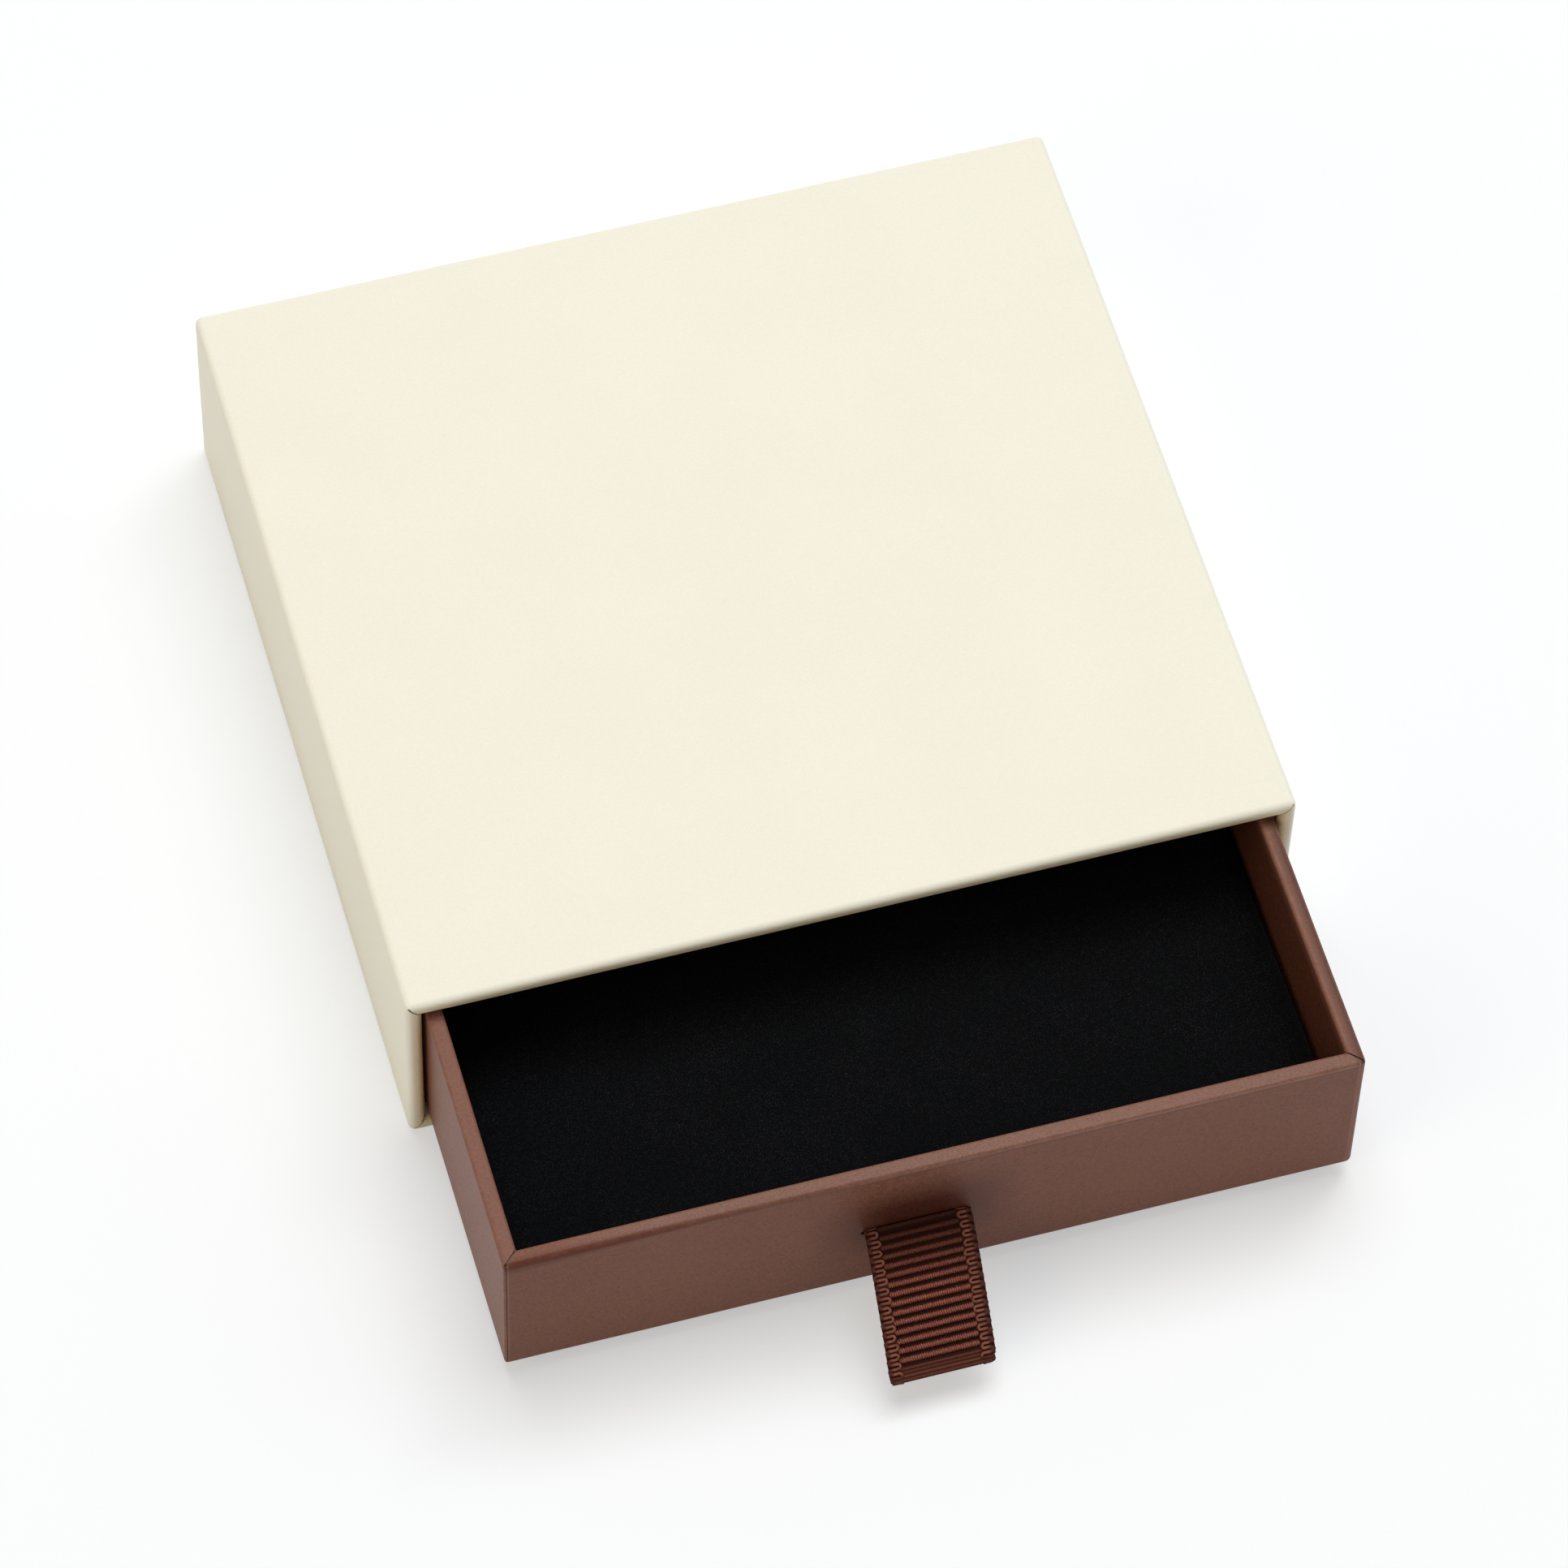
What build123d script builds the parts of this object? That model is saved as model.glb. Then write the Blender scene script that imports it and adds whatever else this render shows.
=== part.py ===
from build123d import *
from math import radians
import os

# A paper-wrapped slide box: a cream sleeve closed at the back, and a brown tray that slides in it, with a
# velvet pad inside and a folded grosgrain ribbon as its pull. Both shells are greyboard panels, taped at
# their corners and wrapped in cover paper that turns over the open edges.
# Millimetres. The origin is the middle of the sleeve's underside, the mouth faces -Y, and +Z is up.

# Sheets that both shells are made of
board = 1.5
paper = 0.2
stay_tape = 0.1
stay_leg = 9.0
stay_apart = 3.0
mitre_gap = 0.12

# Sleeve, over the paper
sleeve_width = 102.0
sleeve_depth = 97.0
sleeve_height = 26.0
sleeve_edge_radius = 0.8
turn_in = 15.0
lining_gap = 0.3
base_seam_inset = 12.0

# Tray, which takes its size from the sleeve's bay and these gaps
side_clearance = 0.45
floor_clearance = 0.1
top_clearance = 0.6
rear_clearance = 0.4
tray_edge_radius = 0.7
floor_sheet_gap = 0.25
pulled_out = 32.4

# Pad in the tray
pad_drop = 10.2
pad_clearance = 0.3
pad_edge_radius = 1.4
velvet = 0.6

# Ribbon pull
ribbon_width = 12.0
ribbon_thickness = 0.5
ribbon_layer_gap = 0.12
ribbon_offset = -2.3
ribbon_reach = 16.4
ribbon_slit_angle = 23.0
ribbon_tip_angle = 40.0
ribbon_stand_off = 0.8
slit_rise = 10.4
slit_margin = 0.3
slit_play = 0.1
tail_length = 7.5
glue_line = 0.05

# Places that follow from the sizes above
wall = paper + board + paper
sleeve_front = -sleeve_depth / 2
sleeve_back = sleeve_depth / 2
sleeve_rounding = min(sleeve_edge_radius, 0.45 * wall)
tray_width = sleeve_width - 2 * wall - 2 * side_clearance
tray_height = sleeve_height - 2 * wall - floor_clearance - top_clearance
tray_depth = sleeve_depth - wall - rear_clearance
tray_front = sleeve_front - pulled_out
tray_back = tray_front + tray_depth
tray_low = wall + floor_clearance
tray_rim = tray_low + tray_height
tray_floor = tray_low + wall
tray_rounding = min(tray_edge_radius, 0.45 * wall)
ribbon_stack = 2 * ribbon_thickness + ribbon_layer_gap
slit_level = tray_low + slit_rise
beyond = 2.0
sides = {"left": -1, "right": 1}


def span_box(x_span, y_span, z_span):
    """A box between two limits on each axis."""
    sizes = [high - low for low, high in (x_span, y_span, z_span)]
    middles = [(high + low) / 2 for low, high in (x_span, y_span, z_span)]
    return Pos(*middles) * Box(*sizes)


def eased(edges, rounding, inset):
    """Edges eased as the paper lies over them: round outside, and on board crushed to a flat of that round."""
    if inset == 0:
        return fillet(edges, rounding)
    return chamfer(edges, (2 - 2**0.5) * (rounding - inset))


def sleeve_block(inset):
    """The sleeve's closed outside, taken in by inset all round, with every edge eased."""
    half = sleeve_width / 2 - inset
    block = span_box(
        (-half, half), (sleeve_front + inset, sleeve_back - inset), (inset, sleeve_height - inset)
    )
    return eased(block.edges(), sleeve_rounding, inset)


def sleeve_bay(outset):
    """The space inside the sleeve, grown by outset into its walls and running out past the mouth."""
    half = sleeve_width / 2 - wall + outset
    return span_box(
        (-half, half),
        (sleeve_front - beyond, sleeve_back - wall + outset),
        (wall - outset, sleeve_height - wall + outset),
    )


def sleeve_shell(inset):
    """The five-sided sleeve, taken in by inset on both faces, with the mouth's inner edges eased."""
    shell = sleeve_block(inset) - sleeve_bay(inset)
    mouth = shell.faces().sort_by(Axis.Y)[0]
    return eased(mouth.inner_wires()[0].edges(), sleeve_rounding, inset)


def tray_block(inset):
    """The tray's closed outside, taken in by inset all round, with every edge eased."""
    half = tray_width / 2 - inset
    block = span_box(
        (-half, half), (tray_front + inset, tray_back - inset), (tray_low + inset, tray_rim - inset)
    )
    return eased(block.edges(), tray_rounding, inset)


def tray_well(outset):
    """The space inside the tray, grown by outset into its walls and running up past the rim."""
    half = tray_width / 2 - wall + outset
    return span_box(
        (-half, half),
        (tray_front + wall - outset, tray_back - wall + outset),
        (tray_floor - outset, tray_rim + beyond),
    )


def tray_shell(inset):
    """The open tray, taken in by inset on both faces, with the rim's inner edges eased."""
    shell = tray_block(inset) - tray_well(inset)
    rim = shell.faces().sort_by(Axis.Z)[-1]
    return eased(rim.inner_wires()[0].edges(), tray_rounding, inset)


def mitre_length(rounding):
    """How far a mitre runs across a wall's corner, from the inner corner to the paper over the outer one."""
    return (wall - paper) * 2**0.5 - (rounding - paper) * (2**0.5 - 1)


def sleeve_stays():
    """Kraft tape folded over each board edge: along the four long edges and round the back panel."""
    skin = sleeve_block(paper) - sleeve_block(paper + stay_tape)
    half = sleeve_width / 2
    levels = {"bottom": (0, stay_leg), "top": (sleeve_height - stay_leg, sleeve_height)}
    clear = stay_leg + stay_apart
    stays = {}
    for side, sign in sides.items():
        flank = sorted((sign * half, sign * (half - stay_leg)))
        for level, height in levels.items():
            run = (sleeve_front + stay_apart, sleeve_back - clear)
            stays[f"sleeve_stay_{level}_{side}"] = skin & span_box(flank, run, height)
        upright = span_box(
            flank, (sleeve_back - stay_leg, sleeve_back), (stay_apart, sleeve_height - stay_apart)
        )
        stays[f"sleeve_stay_back_{side}"] = skin & upright
    for level, height in levels.items():
        across = span_box((clear - half, half - clear), (sleeve_back - stay_leg, sleeve_back), height)
        stays[f"sleeve_stay_back_{level}"] = skin & across
    return stays


def sleeve_boards(stays):
    """Five greyboard panels: top and bottom over the full width, the sides and back between them."""
    core = sleeve_shell(paper)
    for stay in stays.values():
        core = core - stay
    far = sleeve_width
    upper = sleeve_height - paper - board
    lower = paper + board
    inner = sleeve_width / 2 - paper - board
    rear = sleeve_back - paper - board
    return {
        "sleeve_top_board": core & span_box((-far, far), (-far, far), (upper, far)),
        "sleeve_bottom_board": core & span_box((-far, far), (-far, far), (-far, lower)),
        "sleeve_back_board": core & span_box((-far, far), (rear, far), (lower, upper)),
        "sleeve_left_board": core & span_box((-far, -inner), (-far, rear), (lower, upper)),
        "sleeve_right_board": core & span_box((inner, far), (-far, rear), (lower, upper)),
    }


def sleeve_papers():
    """The cream wrap, turned in over the mouth with mitred corners, and the lining behind the turn-in."""
    inner = sleeve_width / 2 - paper - board
    lined = span_box(
        (-inner, inner),
        (sleeve_front + turn_in, sleeve_back - paper - board),
        (paper + board, sleeve_height - paper - board),
    )
    wrap = sleeve_shell(0) - sleeve_shell(paper) - lined
    corner_x = sleeve_width / 2 - wall
    length = mitre_length(sleeve_rounding)
    slit = span_box((-paper, length), (-beyond, turn_in + beyond), (-mitre_gap / 2, mitre_gap / 2))
    for sign in sides.values():
        for level, rise in ((wall, -1), (sleeve_height - wall, 1)):
            outward = Vector(sign, 0, rise)
            across = outward.cross(Vector(0, 1, 0))
            wrap = wrap - Plane((sign * corner_x, sleeve_front, level), x_dir=outward, z_dir=across) * slit
        flap_x = sign * (sleeve_width / 2 - sleeve_rounding)
        wrap = wrap - span_box(
            (flap_x - mitre_gap / 2, flap_x + mitre_gap / 2),
            (sleeve_back - paper, sleeve_back + beyond),
            (sleeve_rounding, sleeve_height - sleeve_rounding),
        )
    seam_x = base_seam_inset - sleeve_width / 2
    wrap = wrap - span_box(
        (seam_x - mitre_gap / 2, seam_x + mitre_gap / 2),
        (sleeve_front + sleeve_rounding, sleeve_back - sleeve_rounding),
        (-beyond, paper),
    )
    lining = lined - sleeve_bay(0)
    back_face = sleeve_back - wall
    far = sleeve_width
    tube = span_box((-far, far), (sleeve_front + turn_in + lining_gap, back_face), (-far, far))
    panel = span_box((-far, far), (back_face, far), (-far, far))
    return {
        "sleeve_wrap": wrap,
        "sleeve_lining": lining & tube,
        "sleeve_back_lining": lining & panel,
    }


def tray_stays():
    """Kraft tape folded over the four upright corners of the tray's boards."""
    skin = tray_block(paper) - tray_block(paper + stay_tape)
    half = tray_width / 2
    ends = {"front": (tray_front, tray_front + stay_leg), "back": (tray_back - stay_leg, tray_back)}
    height = (tray_low + stay_apart, tray_rim - stay_apart)
    stays = {}
    for side, sign in sides.items():
        flank = sorted((sign * half, sign * (half - stay_leg)))
        for end, run in ends.items():
            stays[f"tray_stay_{end}_{side}"] = skin & span_box(flank, run, height)
    return stays


def ribbon_slit():
    """The slot cut through the tray's front for the ribbon, a little wider than the ribbon itself."""
    outline = SlotOverall(ribbon_width + 2 * slit_margin, ribbon_stack + 2 * slit_play)
    face = Plane((ribbon_offset, tray_front, slit_level), x_dir=(1, 0, 0), z_dir=(0, -1, 0))
    return extrude(face * outline, wall + beyond, both=True)


def tray_boards(stays):
    """Five greyboard panels: front and back over the full width, the sides between, the base inside all."""
    core = tray_shell(paper) - ribbon_slit()
    for stay in stays.values():
        core = core - stay
    far = sleeve_width + pulled_out
    inner = tray_width / 2 - paper - board
    near = tray_front + paper + board
    rear = tray_back - paper - board
    top = tray_low + paper + board
    return {
        "tray_front_board": core & span_box((-far, far), (-far, near), (-far, far)),
        "tray_back_board": core & span_box((-far, far), (rear, far), (-far, far)),
        "tray_left_board": core & span_box((-far, -inner), (near, rear), (-far, far)),
        "tray_right_board": core & span_box((inner, far), (near, rear), (-far, far)),
        "tray_base_board": core & span_box((-inner, inner), (near, rear), (-far, top)),
    }


def tray_papers():
    """The brown wrap, over the rim and down inside with mitred corners, and the sheet on the floor."""
    inner = tray_width / 2 - wall
    near = tray_front + wall
    rear = tray_back - wall
    board_top = tray_floor - paper
    bare_floor = span_box((-inner, inner), (near, rear), (board_top, tray_floor))
    wrap = tray_shell(0) - tray_shell(paper) - bare_floor - ribbon_slit()
    length = mitre_length(tray_rounding)
    slit = span_box((-paper, length), (-mitre_gap / 2, mitre_gap / 2), (board_top, tray_rim + beyond))
    for sign in sides.values():
        for corner_y, run in ((near, -1), (rear, 1)):
            outward = Vector(sign, run, 0)
            wrap = wrap - Plane((sign * inner, corner_y, 0), x_dir=outward, z_dir=(0, 0, 1)) * slit
        seam_x = sign * (tray_width / 2 - tray_rounding)
        for face_y in (tray_front, tray_back - paper):
            wrap = wrap - span_box(
                (seam_x - mitre_gap / 2, seam_x + mitre_gap / 2),
                (face_y, face_y + paper),
                (tray_low + tray_rounding, tray_rim - tray_rounding),
            )
    sheet_half = inner - floor_sheet_gap
    sheet = span_box(
        (-sheet_half, sheet_half), (near + floor_sheet_gap, rear - floor_sheet_gap), (board_top, tray_floor)
    )
    return {"tray_wrap": wrap, "tray_floor_sheet": sheet}


def pad_block(inset):
    """The pad's outside, taken in by inset at its sides and top, with its upright and top edges eased."""
    half = tray_width / 2 - wall - pad_clearance - inset
    front_room = glue_line + ribbon_stack + pad_clearance
    block = span_box(
        (-half, half),
        (tray_front + wall + front_room + inset, tray_back - wall - pad_clearance - inset),
        (tray_floor, tray_rim - pad_drop - inset),
    )
    base = block.faces().sort_by(Axis.Z)[0]
    shoulders = [edge for edge in block.edges() if edge not in base.edges()]
    return eased(shoulders, pad_edge_radius, inset)


def pad_pieces():
    """A foam block with a velvet cover drawn over its top and down its sides."""
    foam = pad_block(velvet)
    return {"insert_foam": foam, "insert_velvet": pad_block(0) - foam}


def ribbon_pieces():
    """The folded ribbon: a flat loop outside the slit, and two tails glued down behind the front."""
    side_view = Plane(
        (ribbon_offset, tray_front - ribbon_stand_off, slit_level), x_dir=(0, -1, 0), z_dir=(-1, 0, 0)
    )
    bend = ribbon_tip_angle - ribbon_slit_angle
    bend_radius = ribbon_reach / radians(bend)
    heading = Vector(1, 0).rotate(Axis.Z, -ribbon_slit_angle)
    middle = JernArc((0, 0), heading, bend_radius, -bend)
    loop = SlotArc(middle, ribbon_stack) - SlotArc(middle, ribbon_layer_gap)
    pieces = {"ribbon_loop": extrude(side_view * loop, ribbon_width / 2, both=True)}
    spacing = ribbon_thickness + ribbon_layer_gap
    inner_face = -ribbon_stand_off - wall - glue_line
    for name, layer in (("lower", 0), ("upper", 1)):
        level = (layer - 0.5) * spacing
        back = inner_face - ribbon_thickness / 2 - layer * spacing
        turn = ribbon_thickness / 2 + slit_play + layer * spacing
        route = FilletPolyline(
            (-ribbon_stand_off, level), (back, level), (back, -spacing / 2 - tail_length), radius=turn
        )
        strip = trace(route, ribbon_thickness)
        pieces[f"ribbon_{name}_tail"] = extrude(side_view * strip, ribbon_width / 2, both=True)
    return pieces


sleeve_tapes = sleeve_stays()
tray_tapes = tray_stays()
nodes = {
    **sleeve_boards(sleeve_tapes),
    **sleeve_tapes,
    **sleeve_papers(),
    **tray_boards(tray_tapes),
    **tray_tapes,
    **tray_papers(),
    **pad_pieces(),
    **ribbon_pieces(),
}
os.makedirs("parts", exist_ok=True)
for name, shape in nodes.items():
    export_step(shape, f"parts/{name}.step")
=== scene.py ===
import math

import bmesh
import bpy
from mathutils import Matrix, Quaternion, Vector


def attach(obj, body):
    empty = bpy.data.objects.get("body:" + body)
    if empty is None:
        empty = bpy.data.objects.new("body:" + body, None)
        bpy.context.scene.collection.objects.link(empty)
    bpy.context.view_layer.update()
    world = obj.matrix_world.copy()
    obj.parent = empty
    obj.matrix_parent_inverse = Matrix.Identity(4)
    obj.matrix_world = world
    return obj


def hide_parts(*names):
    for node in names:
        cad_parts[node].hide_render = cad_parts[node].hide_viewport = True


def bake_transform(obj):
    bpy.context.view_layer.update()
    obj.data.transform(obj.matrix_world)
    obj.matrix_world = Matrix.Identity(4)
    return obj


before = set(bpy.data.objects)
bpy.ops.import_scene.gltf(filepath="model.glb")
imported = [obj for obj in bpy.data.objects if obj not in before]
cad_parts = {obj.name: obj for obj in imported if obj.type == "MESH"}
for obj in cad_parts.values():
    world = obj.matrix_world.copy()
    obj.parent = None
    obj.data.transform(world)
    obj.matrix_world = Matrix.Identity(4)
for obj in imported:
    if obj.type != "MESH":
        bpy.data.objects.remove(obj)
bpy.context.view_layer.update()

# The studio: a white table under one broad overhead softbox, a weak key from the back right and a weak fill
# from each side, seen from where the photograph was taken. From below the table is clear, and an opening in
# it under the sleeve lets light up to the sleeve's underside.
table_size = 6
table_drop = 0.00005
table_white = (0.944, 0.968, 0.998, 1)
table_opening = (0.0502, 0.0477)
table_glow = 0.44
glow_white = (1, 1, 1, 1)
ambient_tint = (1.0, 0.985, 0.965, 1)
ambient_level = 0.30
light_distance = 3.0
photo_pixels = 1932
focal_pixels = 9770.7
camera_place = Vector((-0.15007, -0.48755, 0.76184))
camera_right = Vector((0.96104, -0.27563, 0.02079))
camera_down = Vector((-0.2201, -0.80861, -0.54562))


class Shade:
    """A value in a node tree: arithmetic adds Math nodes to the tree, and node() adds any other node."""

    def __init__(self, tree, socket=None):
        self.tree = tree
        self.socket = socket

    def node(self, kind, settings=None, inputs=None, output=0):
        made = self.tree.nodes.new("ShaderNode" + kind)
        for name, value in (settings or {}).items():
            setattr(made, name, value)
        for name, value in (inputs or {}).items():
            if isinstance(value, Shade):
                self.tree.links.new(value.socket, made.inputs[name])
            else:
                made.inputs[name].default_value = value
        return Shade(self.tree, made.outputs[output])

    def math(self, operation, *values):
        return self.node("Math", {"operation": operation}, dict(enumerate(values)))

    def __add__(self, other):
        return self.math("ADD", self, other)

    def __radd__(self, other):
        return self.math("ADD", other, self)

    def __sub__(self, other):
        return self.math("SUBTRACT", self, other)

    def __rsub__(self, other):
        return self.math("SUBTRACT", other, self)

    def __mul__(self, other):
        return self.math("MULTIPLY", self, other)

    def __rmul__(self, other):
        return self.math("MULTIPLY", other, self)


def softbox(name, direction, size, power, tint=(1, 1, 1)):
    """A round studio light that faces the table's middle."""
    aim = Vector(direction).normalized()
    bpy.ops.object.light_add(type="AREA", location=aim * light_distance)
    lamp = bpy.context.object
    lamp.name = name
    lamp.rotation_euler = aim.to_track_quat("Z", "Y").to_euler()
    lamp.data.shape = "DISK"
    lamp.data.size = size
    lamp.data.energy = power
    lamp.data.color = tint


def looked_at(start):
    """1 for what the camera sees, also mirrored or through something clear, and 0 for other rays."""
    seen = start.node("LightPath", {}, {}, "Is Camera Ray")
    for ray in ("Is Glossy Ray", "Is Transmission Ray"):
        seen = seen.math("MAXIMUM", seen, start.node("LightPath", {}, {}, ray))
    return seen


bpy.ops.object.select_all(action="DESELECT")
bpy.ops.mesh.primitive_plane_add(size=table_size, location=(0, 0, -table_drop))
table = bpy.context.object
table.name = "table"
table_paint = bpy.data.materials.new("table_paint")
table_paint.use_nodes = True
table_shader = table_paint.node_tree.nodes["Principled BSDF"]
table_shader.inputs["Base Color"].default_value = table_white
table_shader.inputs["Roughness"].default_value = 0.9
table_shader.inputs["Specular IOR Level"].default_value = 0.0
paint = Shade(table_paint.node_tree)
glow = paint.node("Emission", {}, {"Color": glow_white, "Strength": 1.0})
painted = Shade(table_paint.node_tree, table_shader.outputs[0])
table_top = paint.node("MixShader", {}, {0: looked_at(paint) * table_glow, 1: painted, 2: glow})
clear = paint.node("NewGeometry", {}, {}, "Backfacing")
place = paint.node("TexCoord", {}, {}, "Object")
opening = 1
for index, reach in enumerate(table_opening):
    offset = paint.node("SeparateXYZ", {}, {0: place}, index)
    opening = opening * offset.math("LESS_THAN", offset.math("ABSOLUTE", offset), reach)
clear = clear.math("MAXIMUM", clear, opening)
table_top = paint.node("MixShader", {}, {0: clear, 1: table_top, 2: paint.node("BsdfTransparent")})
table_paint.node_tree.links.new(
    table_top.socket, table_paint.node_tree.nodes["Material Output"].inputs["Surface"]
)
table.data.materials.append(table_paint)

softbox("overhead_softbox", (0.10, 0.24, 1), size=2.1, power=53.0, tint=(0.960, 0.990, 1.0))
softbox("back_key", (0.45, 0.34, 0.85), size=0.9, power=11.0)
softbox("left_fill", (-0.8, -0.3, 0.55), size=1.8, power=15.0, tint=(1.0, 0.80, 0.48))
softbox("right_fill", (0.8, 0.1, 0.6), size=1.8, power=7.0)

studio = bpy.data.worlds.new("studio")
bpy.context.scene.world = studio
studio.use_nodes = True
room = Shade(studio.node_tree)
lit = room.node("Background", {}, {"Color": ambient_tint, "Strength": ambient_level})
white = room.node("Background", {}, {"Color": glow_white, "Strength": 1.0})
backdrop = room.node("MixShader", {}, {0: looked_at(room), 1: lit, 2: white})
studio.node_tree.links.new(backdrop.socket, studio.node_tree.nodes["World Output"].inputs["Surface"])

bpy.ops.object.camera_add()
camera = bpy.context.object
camera.data.sensor_width = 36
camera.data.lens = focal_pixels / photo_pixels * camera.data.sensor_width
camera.data.clip_end = 20
camera_back = camera_right.cross(-camera_down)
axes = Matrix((camera_right, -camera_down, camera_back)).transposed()
camera.matrix_world = Matrix.Translation(camera_place) @ axes.to_4x4()
bpy.context.scene.camera = camera
bpy.context.scene.view_settings.view_transform = "Standard"

# Greyboard panels of the sleeve and the tray: recycled board, cut to size and butted at the edges.
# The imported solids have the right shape, so they stay and get the board's flecked grey.
board_grey = (0.185, 0.150, 0.115, 1)
board_fleck = (0.095, 0.076, 0.058, 1)


def finish_start(name, roughness, specular):
    """A new material: its tree as a Shade, its surface shader, and where on the piece a point lies."""
    material = bpy.data.materials.new(name)
    material.use_nodes = True
    shader = material.node_tree.nodes["Principled BSDF"]
    shader.inputs["Roughness"].default_value = roughness
    shader.inputs["Specular IOR Level"].default_value = specular
    start = Shade(material.node_tree)
    place = start.node("TexCoord", {}, {}, "Object")
    return material, start, shader, place


def feed(shader, name, value):
    """Links a Shade to one of the surface shader's sockets."""
    value.tree.links.new(value.socket, shader.inputs[name])


def grain(start, place, scale, detail=3.0):
    """Noise from 0 to 1 with so many features to the metre."""
    return start.node(
        "TexNoise", {}, {"Vector": place, "Scale": scale, "Detail": detail, "Roughness": 0.6}, "Fac"
    )


def tint(start, share, low, high):
    """A colour between two, by a share from 0 to 1."""
    return start.node(
        "Mix", {"data_type": "RGBA", "clamp_factor": True}, {0: share, 6: low, 7: high}, 2
    )


def relief(start, height, depth, strength):
    """A bump of that depth in metres."""
    return start.node("Bump", {}, {"Strength": strength, "Distance": depth, "Height": height})


def dress(names, material):
    """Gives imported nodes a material."""
    for name in names:
        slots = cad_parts[name].data.materials
        slots.clear()
        slots.append(material)


greyboard, start, shader, place = finish_start("greyboard", 0.85, 0.2)
flecks = grain(start, place, 700)
feed(shader, "Base Color", tint(start, flecks, board_fleck, board_grey))
feed(shader, "Normal", relief(start, flecks, 0.00006, 0.5))
dress([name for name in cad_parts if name.endswith("_board")], greyboard)

# Kraft stay tape over the boards' corners: gummed brown paper with long fibres, under the wraps.
# It is hidden once the box is wrapped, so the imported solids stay.
kraft_brown = (0.42, 0.27, 0.14, 1)
kraft_fibre = (0.30, 0.18, 0.09, 1)
fibre_stretch = (1.0, 0.12, 1.0)
kraft_tape, start, shader, place = finish_start("kraft_tape", 0.7, 0.3)
along = start.node("Mapping", {}, {"Vector": place, "Scale": fibre_stretch})
fibres = grain(start, along, 3200, 4)
feed(shader, "Base Color", tint(start, fibres, kraft_fibre, kraft_brown))
feed(shader, "Normal", relief(start, fibres, 0.00004, 0.4))
dress([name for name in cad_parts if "_stay_" in name], kraft_tape)

# Lining of the sleeve's bay: uncoated off-white paper behind the turned-in wrap, and a panel on the
# back. Flat glued sheets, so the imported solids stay.
lining_white = (0.83, 0.81, 0.72, 1)
lining_shade = (0.77, 0.745, 0.65, 1)
lining_paper, start, shader, place = finish_start("lining_paper", 0.8, 0.25)
tooth = grain(start, place, 5200, 4)
mottle = tooth * 0.7 + grain(start, place, 90) * 0.3
feed(shader, "Base Color", tint(start, mottle, lining_shade, lining_white))
feed(shader, "Normal", relief(start, tooth, 0.00003, 0.4))
dress(["sleeve_lining", "sleeve_back_lining"], lining_paper)

# Sleeve wrap: one sheet of smooth cream cover paper over five sides, turned in over the mouth, where its
# corners are mitred. The ends are tucked at the back, and the lap seam runs under the left side.
paper = 0.0002
wall = 0.0019
wrap_cuts = 24
fold_steps = 8
outer_margin = 0.0005
# Tolerances: places nearer than a hair count as one, and points nearer than the weld distance are joined.
hair = 1e-6
cut_tolerance = 1e-7
weld_distance = 2e-6
sleeve_low = Vector((-0.051, -0.0485, 0.0))
sleeve_high = Vector((0.051, 0.0485, 0.026))
sleeve_rounding = 0.0008
sleeve_turn_in = 0.015
sleeve_waviness = 0.00008
mitre_gap = 0.00014
mitre_spread = math.radians(1.6)
mitre_reach = 0.009
lap_seam_x = -0.039
lip_depth = (0.0012, 0.0003)
lip_width = (0.0017, 0.0003)
cream_deep = (0.834, 0.803, 0.680, 1)
cream_light = (0.904, 0.872, 0.748, 1)
cream_lip_shade = (0.74, 0.585, 0.315, 1)


def pick(kind, test):
    """Selects the edit mesh's verts, edges or faces that pass a test, and nothing else."""
    bpy.context.tool_settings.mesh_select_mode = (kind == "verts", kind == "edges", kind == "faces")
    bpy.ops.mesh.select_all(action="DESELECT")
    mesh = bmesh.from_edit_mesh(bpy.context.object.data)
    mesh.normal_update()
    for element in getattr(mesh, kind):
        if test(element):
            element.select_set(True)
    mesh.select_flush_mode()
    bmesh.update_edit_mesh(bpy.context.object.data)


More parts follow.
